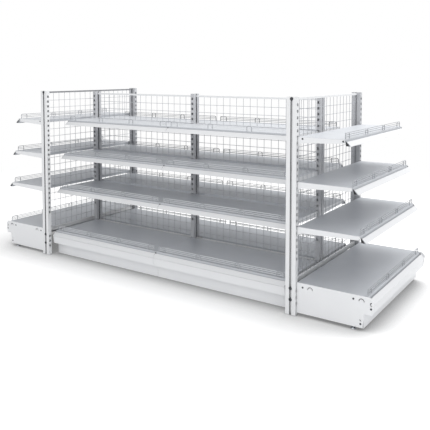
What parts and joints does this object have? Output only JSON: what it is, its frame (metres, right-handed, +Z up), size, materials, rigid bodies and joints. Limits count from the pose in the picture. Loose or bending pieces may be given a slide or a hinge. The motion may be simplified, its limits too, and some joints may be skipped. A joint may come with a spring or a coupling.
{
  "type": "gondola shelving",
  "caption": "Double-sided gondola shelving run with an end unit across each end, slotted uprights, wire back panels, bracketed decks with price rails and wire guards.",
  "frame": {"origin": "on the floor, under the middle of the run", "axes": "+X along the run, +Z up, -Y towards the front side that the picture shows"},
  "size_m": [3.332, 1.12, 1.365],
  "materials": {
    "powder_coated_deck": "satin grey powder coat",
    "white_powder_coat": "satin white powder coat",
    "coated_mesh_wire": "pale grey dip-coated wire",
    "guard_wire": "white dip-coated wire",
    "zinc_steel": "zinc plate",
    "black_plastic": "moulded black"
  },
  "bodies": {
    "frame": {"run_uprights": "white_powder_coat", "end_uprights": "white_powder_coat", "run_mesh_panels": "coated_mesh_wire", "end_mesh_panels": "coated_mesh_wire", "cross_rails": "white_powder_coat", "shelf_brackets": "white_powder_coat", "base_legs": "white_powder_coat", "kick_plates": "white_powder_coat", "bumpers": "white_powder_coat", "side_panels": "white_powder_coat", "levelling_feet": "zinc_steel", "bolts_and_screws": "black_plastic"},
    "shelf_front_left_base": {"deck_front_left_base": "powder_coated_deck", "guard_front_left_base": "guard_wire"},
    "shelf_front_left_low": {"deck_front_left_low": "powder_coated_deck", "guard_front_left_low": "guard_wire"},
    "shelf_front_left_mid": {"deck_front_left_mid": "powder_coated_deck", "guard_front_left_mid": "guard_wire"},
    "shelf_front_left_top": {"deck_front_left_top": "powder_coated_deck", "guard_front_left_top": "guard_wire"},
    "shelf_front_right_base": {"deck_front_right_base": "powder_coated_deck", "guard_front_right_base": "guard_wire"},
    "shelf_front_right_low": {"deck_front_right_low": "powder_coated_deck", "guard_front_right_low": "guard_wire"},
    "shelf_front_right_mid": {"deck_front_right_mid": "powder_coated_deck", "guard_front_right_mid": "guard_wire"},
    "shelf_front_right_top": {"deck_front_right_top": "powder_coated_deck", "guard_front_right_top": "guard_wire"},
    "shelf_back_left_base": {"deck_back_left_base": "powder_coated_deck", "guard_back_left_base": "guard_wire"},
    "shelf_back_left_low": {"deck_back_left_low": "powder_coated_deck", "guard_back_left_low": "guard_wire"},
    "shelf_back_left_mid": {"deck_back_left_mid": "powder_coated_deck", "guard_back_left_mid": "guard_wire"},
    "shelf_back_left_top": {"deck_back_left_top": "powder_coated_deck", "guard_back_left_top": "guard_wire"},
    "shelf_back_right_base": {"deck_back_right_base": "powder_coated_deck", "guard_back_right_base": "guard_wire"},
    "shelf_back_right_low": {"deck_back_right_low": "powder_coated_deck", "guard_back_right_low": "guard_wire"},
    "shelf_back_right_mid": {"deck_back_right_mid": "powder_coated_deck", "guard_back_right_mid": "guard_wire"},
    "shelf_back_right_top": {"deck_back_right_top": "powder_coated_deck", "guard_back_right_top": "guard_wire"},
    "shelf_end_left_base": {"deck_end_left_base": "powder_coated_deck", "guard_end_left_base": "guard_wire"},
    "shelf_end_left_low": {"deck_end_left_low": "powder_coated_deck", "guard_end_left_low": "guard_wire"},
    "shelf_end_left_mid": {"deck_end_left_mid": "powder_coated_deck", "guard_end_left_mid": "guard_wire"},
    "shelf_end_left_top": {"deck_end_left_top": "powder_coated_deck", "guard_end_left_top": "guard_wire"},
    "shelf_end_right_base": {"deck_end_right_base": "powder_coated_deck", "guard_end_right_base": "guard_wire"},
    "shelf_end_right_low": {"deck_end_right_low": "powder_coated_deck", "guard_end_right_low": "guard_wire"},
    "shelf_end_right_mid": {"deck_end_right_mid": "powder_coated_deck", "guard_end_right_mid": "guard_wire"},
    "shelf_end_right_top": {"deck_end_right_top": "powder_coated_deck", "guard_end_right_top": "guard_wire"}
  },
  "joints": [
    {"name": "lift_off_front_left_base", "type": "slide", "parent": "frame", "child": "shelf_front_left_base", "axis": [0, 0, 1], "range_m": [0, 0.14]},
    {"name": "lift_off_front_left_low", "type": "slide", "parent": "frame", "child": "shelf_front_left_low", "axis": [0, 0, 1], "range_m": [0, 0.14]},
    {"name": "lift_off_front_left_mid", "type": "slide", "parent": "frame", "child": "shelf_front_left_mid", "axis": [0, 0, 1], "range_m": [0, 0.14]},
    {"name": "lift_off_front_left_top", "type": "slide", "parent": "frame", "child": "shelf_front_left_top", "axis": [0, 0, 1], "range_m": [0, 0.14]},
    {"name": "lift_off_front_right_base", "type": "slide", "parent": "frame", "child": "shelf_front_right_base", "axis": [0, 0, 1], "range_m": [0, 0.14]},
    {"name": "lift_off_front_right_low", "type": "slide", "parent": "frame", "child": "shelf_front_right_low", "axis": [0, 0, 1], "range_m": [0, 0.14]},
    {"name": "lift_off_front_right_mid", "type": "slide", "parent": "frame", "child": "shelf_front_right_mid", "axis": [0, 0, 1], "range_m": [0, 0.14]},
    {"name": "lift_off_front_right_top", "type": "slide", "parent": "frame", "child": "shelf_front_right_top", "axis": [0, 0, 1], "range_m": [0, 0.14]},
    {"name": "lift_off_back_left_base", "type": "slide", "parent": "frame", "child": "shelf_back_left_base", "axis": [0, 0, 1], "range_m": [0, 0.14]},
    {"name": "lift_off_back_left_low", "type": "slide", "parent": "frame", "child": "shelf_back_left_low", "axis": [0, 0, 1], "range_m": [0, 0.14]},
    {"name": "lift_off_back_left_mid", "type": "slide", "parent": "frame", "child": "shelf_back_left_mid", "axis": [0, 0, 1], "range_m": [0, 0.14]},
    {"name": "lift_off_back_left_top", "type": "slide", "parent": "frame", "child": "shelf_back_left_top", "axis": [0, 0, 1], "range_m": [0, 0.14]},
    {"name": "lift_off_back_right_base", "type": "slide", "parent": "frame", "child": "shelf_back_right_base", "axis": [0, 0, 1], "range_m": [0, 0.14]},
    {"name": "lift_off_back_right_low", "type": "slide", "parent": "frame", "child": "shelf_back_right_low", "axis": [0, 0, 1], "range_m": [0, 0.14]},
    {"name": "lift_off_back_right_mid", "type": "slide", "parent": "frame", "child": "shelf_back_right_mid", "axis": [0, 0, 1], "range_m": [0, 0.14]},
    {"name": "lift_off_back_right_top", "type": "slide", "parent": "frame", "child": "shelf_back_right_top", "axis": [0, 0, 1], "range_m": [0, 0.14]},
    {"name": "lift_off_end_left_base", "type": "slide", "parent": "frame", "child": "shelf_end_left_base", "axis": [0, 0, 1], "range_m": [0, 0.14]},
    {"name": "lift_off_end_left_low", "type": "slide", "parent": "frame", "child": "shelf_end_left_low", "axis": [0, 0, 1], "range_m": [0, 0.14]},
    {"name": "lift_off_end_left_mid", "type": "slide", "parent": "frame", "child": "shelf_end_left_mid", "axis": [0, 0, 1], "range_m": [0, 0.14]},
    {"name": "lift_off_end_left_top", "type": "slide", "parent": "frame", "child": "shelf_end_left_top", "axis": [0, 0, 1], "range_m": [0, 0.14]},
    {"name": "lift_off_end_right_base", "type": "slide", "parent": "frame", "child": "shelf_end_right_base", "axis": [0, 0, 1], "range_m": [0, 0.14]},
    {"name": "lift_off_end_right_low", "type": "slide", "parent": "frame", "child": "shelf_end_right_low", "axis": [0, 0, 1], "range_m": [0, 0.14]},
    {"name": "lift_off_end_right_mid", "type": "slide", "parent": "frame", "child": "shelf_end_right_mid", "axis": [0, 0, 1], "range_m": [0, 0.14]},
    {"name": "lift_off_end_right_top", "type": "slide", "parent": "frame", "child": "shelf_end_right_top", "axis": [0, 0, 1], "range_m": [0, 0.14]}
  ]
}
